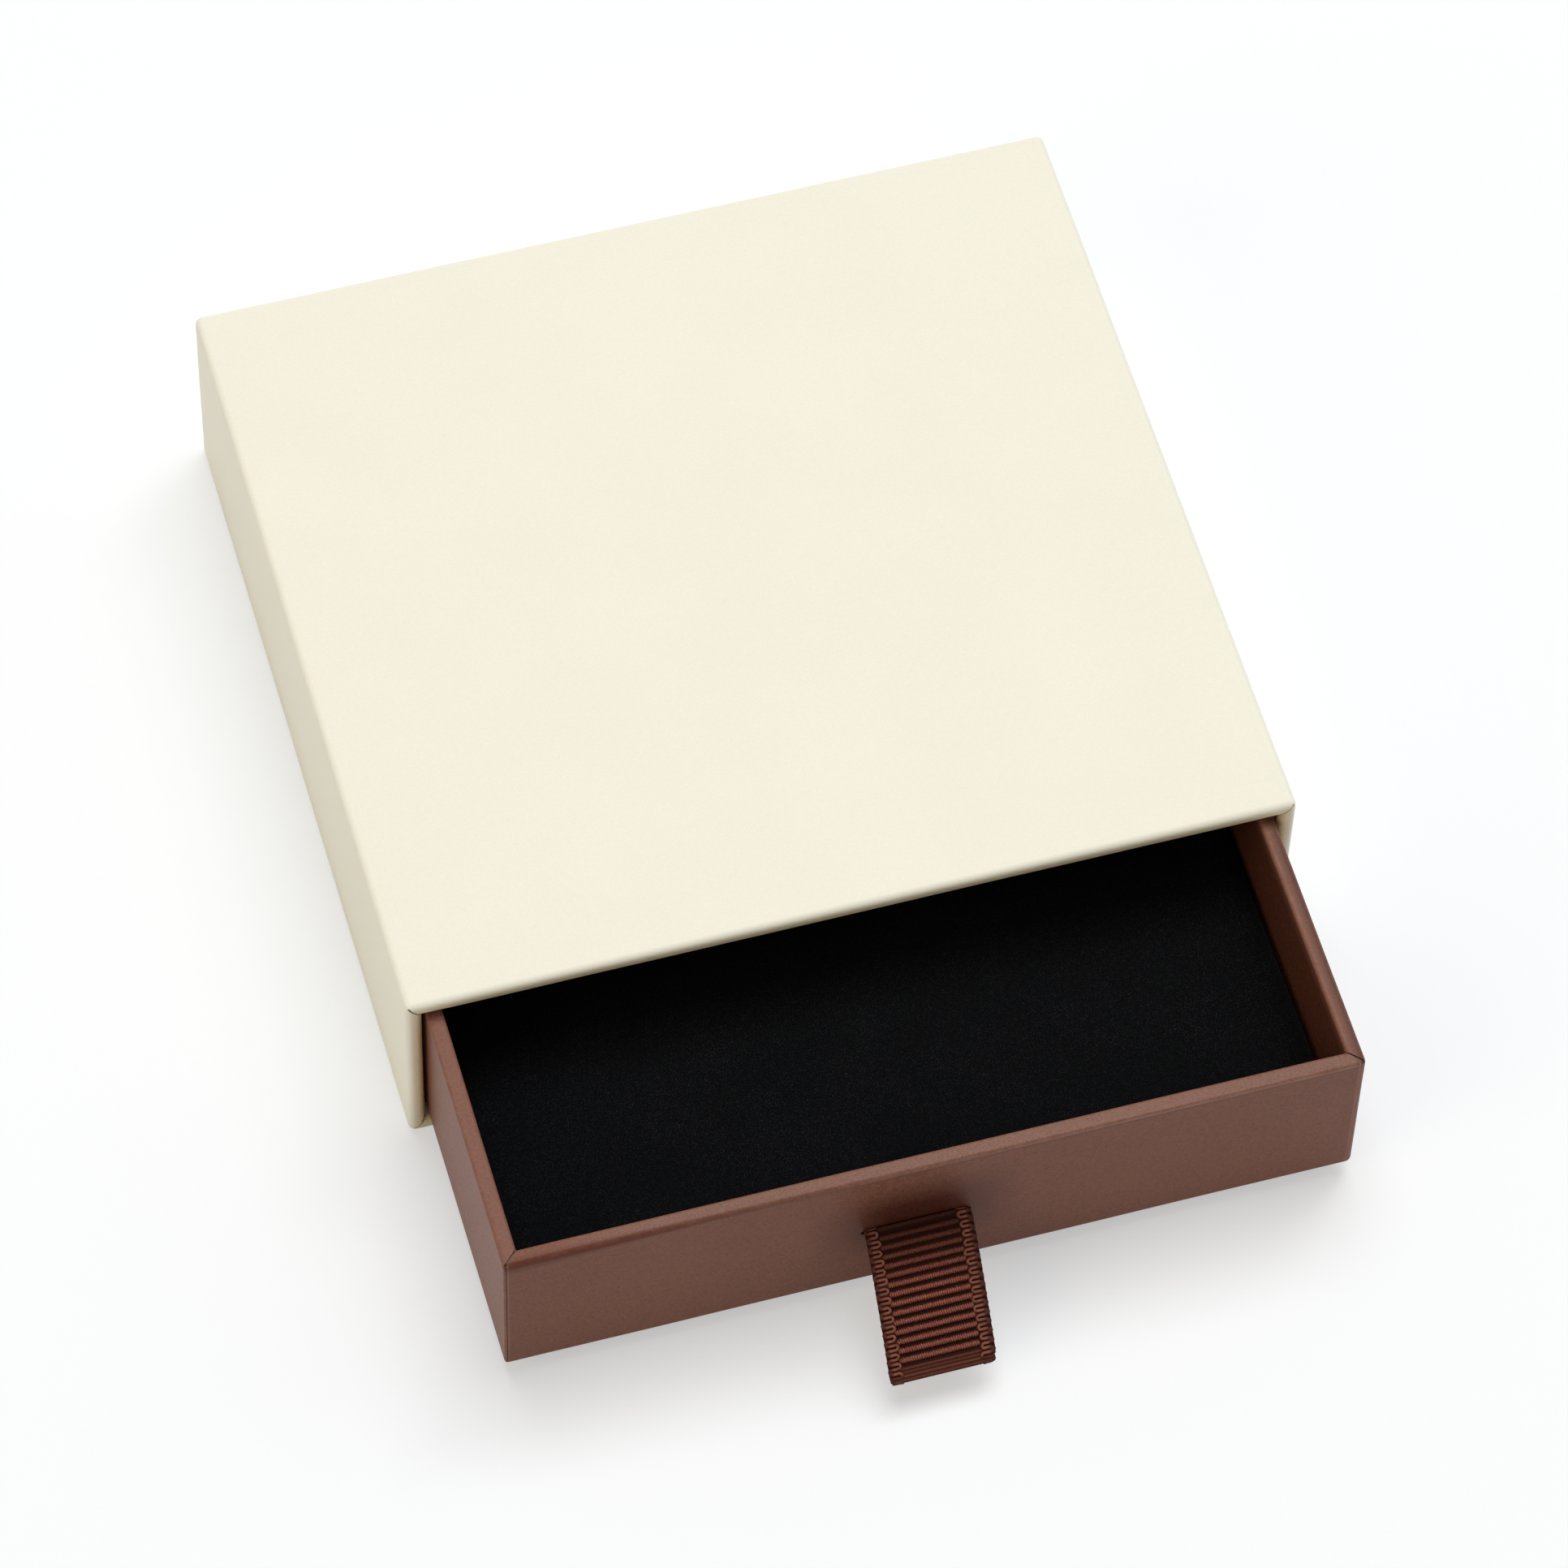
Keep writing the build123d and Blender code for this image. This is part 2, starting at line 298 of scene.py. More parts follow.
def wrapped_shell(name, low, high, mouth, turn_in, rounding):
    """A sheet of paper over a box: open at the mouth, over the wall's edge there and down inside.

    rounding gives an edge's radius from its middle and whether it is on the mouth's inner side.
    """
    size = high - low
    middle = (low + high) / 2
    mouth_middle = middle + mouth * abs(size.dot(mouth)) / 2
    bpy.ops.object.select_all(action="DESELECT")
    bpy.ops.mesh.primitive_cube_add(size=1)
    shell = bpy.context.object
    shell.name = name
    bpy.ops.object.mode_set(mode="EDIT")
    bpy.ops.transform.resize(value=size)
    bpy.ops.transform.translate(value=middle)
    bpy.ops.mesh.subdivide(number_cuts=wrap_cuts)
    pick("faces", lambda face: face.normal.dot(mouth) > 0.9)
    bpy.ops.mesh.delete(type="FACE")
    pick("edges", lambda edge: edge.is_boundary)
    bpy.ops.mesh.extrude_edges_indiv()
    inward = [1 if abs(m) > 0.5 else (s - 2 * wall) / s for m, s in zip(mouth, size)]
    bpy.ops.transform.resize(value=inward, center_override=mouth_middle)
    bpy.ops.mesh.extrude_edges_indiv()
    bpy.ops.transform.translate(value=-mouth * turn_in)
    bpy.ops.mesh.select_all(action="SELECT")
    bpy.ops.mesh.normals_make_consistent(inside=False)

    def folded(edge):
        return len(edge.link_faces) == 2 and edge.calc_face_angle_signed() > 1

    def radius(edge):
        place = (edge.verts[0].co + edge.verts[1].co) / 2
        out = max(abs(place[i] - middle[i]) / size[i] for i in range(3) if abs(mouth[i]) < 0.5)
        return rounding(place, out < 0.5 - hair)

    edges = bmesh.from_edit_mesh(shell.data).edges
    radii = sorted({radius(edge) for edge in edges if folded(edge)})
    for value in radii:
        pick("edges", lambda edge: folded(edge) and radius(edge) == value)
        bpy.ops.transform.edge_bevelweight(value=value / radii[-1])
    bpy.ops.object.mode_set(mode="OBJECT")
    fold = shell.modifiers.new("fold", "BEVEL")
    fold.limit_method = "WEIGHT"
    fold.offset_type = "OFFSET"
    fold.width = radii[-1]
    fold.segments = fold_steps
    fold.use_clamp_overlap = False
    bpy.ops.object.modifier_apply(modifier="fold")
    bpy.ops.object.mode_set(mode="EDIT")
    return shell


def slit(point, across, gap, test, turn=None):
    """Parts the faces that pass a test by a narrow gap along a plane, which turn opens at one end."""
    sides = []
    for side in (-1, 1):
        normal = across.copy()
        if turn:
            normal.rotate(Quaternion(turn, side * mitre_spread))
        sides.append((point + across * gap * side / 2, normal * side))
    for place, normal in sides:
        pick("faces", test)
        bpy.ops.mesh.bisect(plane_co=place, plane_no=normal, threshold=cut_tolerance)

    def between(face):
        centre = face.calc_center_median()
        return all((centre - place).dot(normal) < -cut_tolerance for place, normal in sides)

    pick("faces", lambda face: test(face) and between(face))
    bpy.ops.mesh.delete(type="FACE")


def near_corner(corner, mouth):
    """A test for the faces of a mouth's corner that lie over its edge or inside it."""

    def test(face):
        centre = face.calc_center_median()
        offset = centre - corner
        offset -= mouth * offset.dot(mouth)
        inside = offset.dot(face.normal) < 0 and abs(face.normal.dot(mouth)) < 0.5
        return offset.length < mitre_reach and (face.normal.dot(mouth) > 0.6 or inside)

    return test


def paper_body(shell, waviness):
    """Gives the sheet a faint unevenness and its thickness, and shades it smooth between sharp cuts."""
    bpy.ops.mesh.select_all(action="SELECT")
    bpy.ops.mesh.remove_doubles(threshold=weld_distance)
    bpy.ops.object.mode_set(mode="OBJECT")
    uneven = bpy.data.textures.new(shell.name + "_uneven", "CLOUDS")
    uneven.noise_scale = 0.014
    wave = shell.modifiers.new("wave", "DISPLACE")
    wave.texture = uneven
    wave.texture_coords = "LOCAL"
    wave.strength = waviness
    wave.mid_level = 0.35
    thickness = shell.modifiers.new("thickness", "SOLIDIFY")
    thickness.thickness = paper
    thickness.offset = -1
    bpy.ops.object.modifier_apply(modifier="wave")
    bpy.ops.object.modifier_apply(modifier="thickness")
    bpy.ops.object.shade_smooth_by_angle(angle=math.radians(40))
    normals = shell.modifiers.new("normals", "WEIGHTED_NORMAL")
    normals.keep_sharp = True
    bpy.ops.object.modifier_apply(modifier="normals")


mouth = Vector((0, -1, 0))
sleeve_paper = wrapped_shell(
    "sleeve_paper", sleeve_low, sleeve_high, mouth, sleeve_turn_in, lambda place, inner: sleeve_rounding
)
for corner_x, side in ((sleeve_low.x + wall, -1), (sleeve_high.x - wall, 1)):
    for corner_z, rise in ((sleeve_low.z + wall, -1), (sleeve_high.z - wall, 1)):
        corner = Vector((corner_x, sleeve_low.y, corner_z))
        across = Vector((side, 0, -rise)).normalized()
        slit(corner, across, mitre_gap, near_corner(corner, mouth), -mouth * side * rise)
    tuck = Vector((side * (sleeve_high.x - sleeve_rounding), 0, 0))
    slit(tuck, Vector((1, 0, 0)), mitre_gap, lambda face: face.normal.y > 0.9)
slit(
    Vector((lap_seam_x, 0, 0)),
    Vector((1, 0, 0)),
    mitre_gap,
    lambda face: face.normal.z < -0.98 and face.calc_center_median().z < outer_margin,
)
paper_body(sleeve_paper, sleeve_waviness)


def spread(start, value, low, high):
    """A value stretched so that low becomes 0 and high becomes 1, and held there."""
    return start.node("MapRange", {}, {"Value": value, "From Min": low, "From Max": high})


def axis(start, place, index):
    """One coordinate of a place."""
    return start.node("SeparateXYZ", {}, {0: place}, index)


cream_paper, start, shader, place = finish_start("cream_paper", 0.6, 0.22)
tooth = spread(start, grain(start, place, 4200, 4), 0.32, 0.68)
cloud = grain(start, place, 55, 2)
body = tint(start, tooth * 0.55 + cloud * 0.45, cream_deep, cream_light)
beside = axis(start, place, 0)
above = axis(start, place, 2) - (sleeve_low.z + sleeve_high.z) / 2
beside = beside.math("ABSOLUTE", beside) - (sleeve_high.x - wall)
above = above.math("ABSOLUTE", above) - ((sleeve_high.z - sleeve_low.z) / 2 - wall)
# Painted shade: the lip darkens to tan towards its inner edge, standing in for shade and the tray's warm
# bounce.
inset = spread(start, beside.math("MAXIMUM", beside, above), *lip_width)
inner_lip = spread(start, axis(start, place, 1) - sleeve_low.y, *lip_depth) * inset
painted_lip_shade = inner_lip * (0.65 + 0.5 * grain(start, place, 700, 3))
feed(shader, "Base Color", tint(start, painted_lip_shade, body, cream_lip_shade))
feed(shader, "Roughness", 0.52 + 0.16 * tooth)
creases = grain(start, place, 900, 2) * inner_lip
feed(shader, "Normal", relief(start, tooth * 0.3 + creases * 6.0, 0.00004, 0.4))
sleeve_paper.data.materials.append(cream_paper)
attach(sleeve_paper, "sleeve")
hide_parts("sleeve_wrap")

# Tray wrap: one sheet of brown fine-grained cover paper over the outside, over the rim and down inside.
# The rim's corners are mitred, its front fold is a loose roll at the left end, the side flaps show at the
# upright edges, and the front is slit for the ribbon.
tray_low = Vector((-0.04865, -0.0809, 0.002))
tray_high = Vector((0.04865, 0.0138, 0.0235))
tray_rounding = 0.0008
rim_rounding = 0.0004
left_rounding = 0.0003
front_roll = (0.0010, 0.00028)
front_roll_run = 0.06
left_tuck_gap = 0.00005
right_tuck_gap = 0.00003
tray_turn_in = 0.0197
tray_waviness = 0.00006
front_depth = 0.0001
slit_low = Vector((-0.0086, -0.0809, 0.01174))
slit_high = Vector((0.004, -0.0809, 0.01306))
slit_point = 0.0007
slit_end_share = 0.12
brown_deep = (0.119, 0.039, 0.020, 1)
brown_light = (0.247, 0.099, 0.062, 1)
brown_shade = (0.046, 0.009, 0.003, 1)
brown_wear_and_highlight = (0.36, 0.18, 0.13, 1)
brown_sheen = (0.232, 0.132, 0.106, 1)
brown_fold_shade = (0.090, 0.019, 0.008, 1)


def tray_fold(place, inner):
    """Soft folds outside, tighter ones inside the rim, crisp ones along the left rim and left corners.

    The front rim's fold is a soft roll at its left end and gets tighter towards the right.
    """
    if inner:
        return rim_rounding
    if place.x < tray_low.x + hair and place.z > tray_low.z + hair:
        return left_rounding
    if place.y < tray_low.y + hair and place.z > tray_high.z - hair:
        rightness = min(1.0, max(0.0, (place.x - tray_low.x) / front_roll_run))
        return front_roll[0] + (front_roll[1] - front_roll[0]) * rightness
    return tray_rounding


mouth = Vector((0, 0, 1))
tray_paper = wrapped_shell("tray_paper", tray_low, tray_high, mouth, tray_turn_in, tray_fold)
for corner_x, side in ((tray_low.x + wall, -1), (tray_high.x - wall, 1)):
    for corner_y, run in ((tray_low.y + wall, -1), (tray_high.y - wall, 1)):
        corner = Vector((corner_x, corner_y, tray_high.z))
        across = Vector((side, -run, 0)).normalized()
        slit(corner, across, mitre_gap, near_corner(corner, mouth), -mouth * side * run)
    fold, gap = (left_rounding, left_tuck_gap) if side < 0 else (tray_rounding, right_tuck_gap)
    tuck = Vector((side * (tray_high.x - fold), 0, 0))
    end_faces = (tray_low.y + outer_margin, tray_high.y - outer_margin)
    slit(
        tuck,
        Vector((1, 0, 0)),
        gap,
        lambda face: abs(face.normal.y) > 0.9
        and not end_faces[0] < face.calc_center_median().y < end_faces[1],
    )


def slit_face(face):
    """The tray front's outer faces."""
    return face.normal.y < -0.98 and face.calc_center_median().y < tray_low.y + front_depth


for place_x in (slit_low.x, slit_low.x + slit_point, slit_high.x - slit_point, slit_high.x):
    pick("faces", slit_face)
    bpy.ops.mesh.bisect(plane_co=(place_x, 0, 0), plane_no=(1, 0, 0), threshold=cut_tolerance)
for place_z in (slit_low.z, slit_high.z):
    pick("faces", slit_face)
    bpy.ops.mesh.bisect(plane_co=(0, 0, place_z), plane_no=(0, 0, 1), threshold=cut_tolerance)


def in_slit(point):
    """Whether a point of the tray's front lies in the ribbon's slit."""
    across = slit_low.x < point.x < slit_high.x
    return across and slit_low.z < point.z < slit_high.z and point.y < tray_low.y + front_depth


pick("faces", lambda face: slit_face(face) and in_slit(face.calc_center_median()))
bpy.ops.mesh.delete(type="FACE")
for end_x in (slit_low.x, slit_high.x):
    pick(
        "verts",
        lambda vert: abs(vert.co.x - end_x) < hair
        and vert.is_boundary
        and slit_low.z - hair < vert.co.z < slit_high.z + hair
        and vert.co.y < tray_low.y + front_depth,
    )
    slit_end = (end_x, tray_low.y, (slit_low.z + slit_high.z) / 2)
    bpy.ops.transform.resize(value=(1, 1, slit_end_share), center_override=slit_end)
paper_body(tray_paper, tray_waviness)


def edge_distance(start, place, low, high):
    """How far a point on a box's outside lies from the nearest edge of the box."""
    middle = (low + high) / 2
    gaps = []
    for index in range(3):
        offset = axis(start, place, index) - middle[index]
        gaps.append((high[index] - low[index]) / 2 - offset.math("ABSOLUTE", offset))
    a, b, c = gaps
    return a.math("MAXIMUM", a.math("MINIMUM", a, b), a.math("MINIMUM", a.math("MAXIMUM", a, b), c))


def line_at(start, value, level, width):
    """1 where a value is at a level, falling to 0 at half that width away."""
    offset = value - level
    return 1 - spread(start, offset.math("ABSOLUTE", offset), 0.0, width / 2)


# Where along the front its fold changes from one look to another, and how far the slit's shade reaches.
roll_span = (0.004, -0.036)
roll_top_span = (-0.020, -0.046)
roll_foot_span = (-0.026, -0.047)
corner_span = (-0.034, -0.044)
crease_span = (-0.005, 0.025)
mitre_blend = (-0.00003, 0.00003)
slit_shade_beside = (0.0125, 0.0030)
slit_shade_over = (0.0085, 0.0030)
slit_shade_under = 0.0050

brown_paper, start, shader, place = finish_start("brown_paper", 0.40, 0.18)
fibres = spread(start, grain(start, place, 2600, 4), 0.36, 0.64)
tooth = spread(start, grain(start, place, 4200, 3), 0.36, 0.64)
cloud = grain(start, place, 70, 2)
share = fibres * 0.42 + tooth * 0.34 + cloud * 0.24
patches = spread(start, grain(start, place, 420, 4), 0.42, 0.72)

# Where a point lies on the tray, and which of its parts are the front, the rim and the front rim's fold.
beside = axis(start, place, 0)
above = axis(start, place, 2)
from_right = tray_high.x - beside
from_side = tray_high.x - beside.math("ABSOLUTE", beside)
inward = axis(start, place, 1) - tray_low.y
down = tray_high.z - above
roll = inward - down
front = spread(start, inward, 0.0004, 0.0002)
rim = spread(start, down, 0.0010, 0.0004)
front_fold = spread(start, from_side - inward, *mitre_blend)
front_fold = front_fold * spread(start, inward, wall - 0.0001, wall - 0.0004)

# Painted shade on the front fold: a darker, redder band on the roll at the left, two thin dark lines to the
# right.
leftward = spread(start, beside, *roll_span)
band_top = 0.0004 + 0.0007 * spread(start, beside, *roll_top_span)
band_foot = -0.0008 - 0.0012 * spread(start, beside, *roll_foot_span)
fold_shade = spread(start, roll, band_top, 0.0001) * 0.54 + spread(start, roll, 0.0014, 0.0004) * 0.13
fold_shade = fold_shade * leftward * spread(start, roll, band_foot, band_foot * 0.4)
crease_shade_lines = line_at(start, roll, level=0.0001, width=0.0003) * 0.5
crease_shade_lines = crease_shade_lines + line_at(start, roll, level=-0.0007, width=0.0005)
fold_shade = (fold_shade + crease_shade_lines * (1 - leftward) * 0.42) * front_fold

# Paler: worn patches of the edges, the crease at the right, the flaps' cut edges and the right rim's edge.
edge = edge_distance(start, place, tray_low, tray_high)
rubbed = (1 - spread(start, edge, 0.0, 0.0005)) * patches * 0.35
# The crease and the flaps' cut edges get painted highlights, where the paper catches the light.
crease_highlight = line_at(start, roll, level=-0.0003, width=0.0004) * front_fold
crease_highlight = crease_highlight * spread(start, beside, *crease_span)
flap_highlight = line_at(start, from_right, level=tray_rounding, width=0.00036) * front
left_flap_highlight = line_at(start, beside, level=tray_low.x + left_rounding + 0.0002, width=0.0003) * front
rim_edge = line_at(start, from_right, level=wall - 0.00035, width=0.0007) * rim
wear_and_highlights = rubbed + crease_highlight * (0.45 + 0.50 * patches) + flap_highlight * 0.7
wear_and_highlights = wear_and_highlights + left_flap_highlight * 0.35 + rim_edge * patches * 0.35

# Painted shade: the walls inside the tray, the right rim's outer slope and the paper round the slit.
inside = spread(start, from_side, wall - 0.0002, wall)
below = spread(start, down, 0.0002, 0.0020)
outer_rim = spread(start, from_right, 0.0014, 0.0006) * rim
from_slit = beside - (slit_low.x + slit_high.x) / 2
round_slit = spread(start, from_slit.math("ABSOLUTE", from_slit), *slit_shade_beside) * front
round_slit = round_slit * spread(start, above - slit_high.z, *slit_shade_over)
round_slit = round_slit * spread(start, above, slit_low.z - slit_shade_under, slit_high.z)
painted_shade = inside * below * (1 - front) * 0.62 + outer_rim * 0.55 + round_slit * 0.94

# Painted sheen: the rim's top is greyed, most of all along the front, but not at the front's left corner.
left_corner = spread(start, beside, *corner_span) * front_fold
rim_sheen = rim * (0.20 + 0.40 * front_fold * tooth) * (1 - left_corner)

body = tint(start, rim_sheen, tint(start, share, brown_deep, brown_light), brown_sheen)
body = tint(start, painted_shade, body, brown_shade)
body = tint(start, fold_shade * 1.2, body, brown_fold_shade)
feed(shader, "Base Color", tint(start, wear_and_highlights, body, brown_wear_and_highlight))
feed(shader, "Roughness", 0.40 + 0.14 * fibres)
feed(shader, "Normal", relief(start, fibres * 0.6 + tooth * 0.4, 0.00003, 0.36))
tray_paper.data.materials.append(brown_paper)
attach(tray_paper, "tray")
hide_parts("tray_wrap")

# Floor sheet of the tray: a flat panel of the same brown paper, glued over the wrap's turned-down edges.
# The pad hides it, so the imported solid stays.
dress(["tray_floor_sheet"], brown_paper)

# Pad: a foam block under a black velvet cover, dropped into the tray and filling it edge to edge. A cloth
# run blows the cover out a little over the foam, so its top is faintly crowned and soft-edged.
pad_low = Vector((-0.04630, -0.0774, 0.0039))
pad_high = Vector((0.04630, 0.0115, 0.0131))
pad_rounding = 0.0009
pad_swell = 0.0003
pad_voxel = 0.0012
cloth_steps = 20
velvet_black = (0.0018, 0.0020, 0.0024, 1)
velvet_tip = (0.0310, 0.0322, 0.0365, 1)

bpy.ops.object.select_all(action="DESELECT")
bpy.ops.mesh.primitive_cube_add(size=1)
velvet_pad = bpy.context.object
velvet_pad.name = "velvet_pad"
bpy.ops.object.mode_set(mode="EDIT")
bpy.ops.transform.resize(value=pad_high - pad_low)
bpy.ops.transform.translate(value=(pad_low + pad_high) / 2)
pick("edges", lambda edge: max(vert.co.z for vert in edge.verts) > pad_low.z + pad_rounding)
bpy.ops.mesh.bevel(offset=pad_rounding, segments=4, profile=0.5)
bpy.ops.object.mode_set(mode="OBJECT")
remesh = velvet_pad.modifiers.new("remesh", "REMESH")
remesh.mode = "VOXEL"
remesh.voxel_size = pad_voxel
bpy.ops.object.modifier_apply(modifier="remesh")
cut = [vert.co.copy() for vert in velvet_pad.data.vertices]
cloth = velvet_pad.modifiers.new("cloth", "CLOTH")
cloth.settings.use_pressure = True
cloth.settings.uniform_pressure_force = 4.0
cloth.settings.effector_weights.gravity = 0.0
for step in range(1, cloth_steps + 1):
    bpy.context.scene.frame_set(step)
blown = velvet_pad.evaluated_get(bpy.context.evaluated_depsgraph_get())
swollen = [vert.co.copy() for vert in blown.data.vertices]
velvet_pad.modifiers.remove(cloth)
bpy.context.scene.frame_set(1)
for vert, before, after in zip(velvet_pad.data.vertices, cut, swollen):
    move = after - before
    if before.z < pad_low.z + pad_rounding:
        move.z = 0.0
    vert.co = before + move * min(1.0, pad_swell / max(move.length, cut_tolerance))
soften = velvet_pad.modifiers.new("soften", "SUBSURF")
soften.levels = 1
soften.render_levels = 1
bpy.ops.object.modifier_apply(modifier="soften")
bpy.ops.object.shade_smooth()

velvet, start, shader, place = finish_start("velvet", 1.0, 0.02)
pile = start.node("TexVoronoi", {}, {"Vector": place, "Scale": 5200.0, "Randomness": 1.0}, "Distance")
brushed = spread(start, grain(start, place, 120, 3), 0.35, 0.65)
tufts = spread(start, grain(start, place, 1500, 3), 0.40, 0.66)
specks = spread(start, grain(start, place, 6800, 2), 0.50, 0.78) * (0.45 + 0.55 * tufts)
feed(shader, "Base Color", tint(start, specks * (0.65 + 0.35 * brushed), velvet_black, velvet_tip))
feed(shader, "Normal", relief(start, pile, 0.0001, 0.5))
shader.inputs["Sheen Weight"].default_value = 0.02
shader.inputs["Sheen Roughness"].default_value = 0.6
velvet_pad.data.materials.append(velvet)
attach(velvet_pad, "tray")
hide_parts("insert_velvet", "insert_foam")

# Ribbon pull: brown grosgrain, woven with a rib across it, folded double with its two ends glued down behind
# the tray's front. One rib is modelled and repeated, the tip is pressed, and the strip is laid on its path.
ribbon_width = 0.012
ribbon_x = -0.0023
rib_pitch = 0.00103
rib_count = 53
rib_end = 0.0044
rib_peak = 0.00044
rib_valley = 0.00003
rib_sharpness = 1.4
rib_end_share = 0.4
band_level = 0.00010
band_ridge = 0.00008
edge_level = 0.00010
edge_step = 0.00022
edge_cord_x = 0.00580
cloth_edge = 0.00596
fold_drift = -0.0003
drift_starts = (0.0003, 0.0012)
loop_lean = -0.0009
lean_steps = 16
lean_start = 0.0006
lean_stride = 0.0008
tip_corner_x = 0.0055
tip_corner_reaches = (0.0005, 0.0002)
tip_corner_share = 0.982
tip_presses = ((0.6, 0.0021), (0.5, 0.0017))
slit_press = 0.6
back_press = 0.35
layer_offset = 0.00031
slit_level = 0.0124
slit_y = -0.0809
hinge_y = -0.0817
loop_length = 0.0159
slit_heading = math.radians(23)
tip_heading = math.radians(40)
tail_end_z = 0.0046
upper_tail_y = -0.07808
lower_tail_y = -0.0787
upper_turn = 0.00097
lower_turn = 0.00035
tail_handle = 0.001
slit_handle = 0.0004
hinge_handle = 0.0003


def ribbon_route():
    """The strip's path: up behind the front, out of the slit, round the folded loop and back again.

    Each stop on it has a place across the front and up, a heading, and the lengths of its two handles.
    """
    radius = loop_length / (tip_heading - slit_heading)
    to_centre = Vector((math.sin(slit_heading), -math.cos(slit_heading)))
    centre = Vector((hinge_y, slit_level)) + radius * to_centre

    def on_loop(heading, layer):
        reach = radius + layer * layer_offset
        return centre + reach * Vector((-math.sin(heading), math.cos(heading)))

    def along(heading):
        return Vector((-math.cos(heading), -math.sin(heading)))

    def arc_handle(reach, sweep):
        return 4 / 3 * math.tan(sweep / 4) * reach

    up = Vector((0, 1))
    quarter = math.pi / 2
    sweep = tip_heading - slit_heading
    tip = on_loop(tip_heading, 0) + along(tip_heading) * layer_offset
    rise = slit_level + layer_offset
    fall = slit_level - layer_offset
    fold = arc_handle(layer_offset, quarter)
    upper_arc = arc_handle(radius + layer_offset, sweep)
    lower_arc = arc_handle(radius - layer_offset, sweep)
    upper_bend = arc_handle(upper_turn, quarter)
    lower_bend = arc_handle(lower_turn, quarter)
    return [
        (Vector((upper_tail_y, tail_end_z)), up, tail_handle, tail_handle),
        (Vector((upper_tail_y, rise - upper_turn)), up, tail_handle, upper_bend),
        (Vector((upper_tail_y - upper_turn, rise)), along(0), upper_bend, slit_handle),
        (Vector((slit_y, rise)), along(0), slit_handle, hinge_handle),
        (on_loop(slit_heading, 1), along(slit_heading), hinge_handle, upper_arc),
        (on_loop(tip_heading, 1), along(tip_heading), upper_arc, fold),
        (tip, Vector((math.sin(tip_heading), -math.cos(tip_heading))), fold, fold),
        (on_loop(tip_heading, -1), -along(tip_heading), fold, lower_arc),
        (on_loop(slit_heading, -1), -along(slit_heading), lower_arc, hinge_handle),
        (Vector((slit_y, fall)), -along(0), hinge_handle, slit_handle),
        (Vector((lower_tail_y - lower_turn, fall)), -along(0), slit_handle, lower_bend),
        (Vector((lower_tail_y, fall - lower_turn)), -up, lower_bend, tail_handle),
        (Vector((lower_tail_y, tail_end_z)), -up, tail_handle, tail_handle),
    ]


bpy.ops.object.select_all(action="DESELECT")
bpy.ops.curve.primitive_bezier_curve_add()
ribbon_path = bpy.context.object
ribbon_path.data.resolution_u = 64
ribbon_path.data.twist_mode = "MINIMUM"
route = ribbon_route()
knots = ribbon_path.data.splines[0].bezier_points
knots.add(len(route) - len(knots))
for knot, (point, heading, before, after) in zip(knots, route):
    knot.handle_left_type = knot.handle_right_type = "FREE"
    knot.co = (ribbon_x, *point)
    knot.handle_left = (ribbon_x, *(point - heading * before))
    knot.handle_right = (ribbon_x, *(point + heading * after))
    knot.tilt = -math.pi / 2
path_line = bpy.data.meshes.new_from_object(ribbon_path)
path_points = [vert.co.copy() for vert in path_line.vertices]
bpy.data.meshes.remove(path_line)
reached = [0.0]
for near, far in zip(path_points, path_points[1:]):
    reached.append(reached[-1] + (far - near).length)
fold_at = min(zip(path_points, reached), key=lambda entry: entry[0].y)[1]
outside = [length for point, length in zip(path_points, reached) if point.y < slit_y - front_depth]


def repeat(piece, count):
    """Copies one rib's worth of a piece along the strip."""
    copies = piece.modifiers.new("copies", "ARRAY")
    copies.count = count
    copies.use_relative_offset = False
    copies.use_constant_offset = True
    copies.constant_offset_displace = (0, rib_pitch, 0)
    copies.use_merge_vertices = True
    copies.merge_threshold = weld_distance
    bpy.ops.object.modifier_apply(modifier="copies")


def lay_on_path(piece):
    """Keeps each point's place on the flat strip for the weave, then bends the strip along its path.

    The lower layer is folded a little askew, so that it shows past the upper one's left edge, and the
    loop leans a little to the left.
    """
    bpy.ops.object.mode_set(mode="EDIT")
    for past_fold in drift_starts:
        pick("verts", lambda vert: fold_at + past_fold < vert.co.y < outside[-1])
        bpy.ops.transform.translate(value=(fold_drift / len(drift_starts), 0, 0))
    bpy.ops.object.mode_set(mode="OBJECT")
    flat = piece.data.attributes.new("flat_place", "FLOAT_VECTOR", "POINT")
    for entry, vert in zip(flat.data, piece.data.vertices):
        entry.vector = vert.co
    bent = piece.modifiers.new("bent", "CURVE")
    bent.object = ribbon_path
    bent.deform_axis = "POS_Y"
    bpy.ops.object.modifier_apply(modifier="bent")
    bpy.ops.object.mode_set(mode="EDIT")
    for step in range(lean_steps):
        pick("verts", lambda vert: vert.co.y < hinge_y - lean_start - lean_stride * step)
        bpy.ops.transform.translate(value=(loop_lean / lean_steps, 0, 0))
    bpy.ops.object.mode_set(mode="OBJECT")


def press(keep, test):
    """Flattens the part of the unbent strip that passes a test."""
    pick("verts", test)
    bpy.ops.transform.resize(value=(1, 1, keep), center_override=(0, 0, 0))


def narrow_fold():
    """Rounds the corners of the folded tip on the unbent strip."""
    for reach in tip_corner_reaches:
        pick("verts", lambda vert: abs(vert.co.y - fold_at) < reach and abs(vert.co.x) > tip_corner_x)
        bpy.ops.transform.resize(value=(tip_corner_share, 1, 1), center_override=(0, 0, 0))


def in_slit_or_behind(vert):
    """Whether a point of the unbent strip will lie in the tray front's slit or behind it."""
    return not outside[0] < vert.co.y < outside[-1]


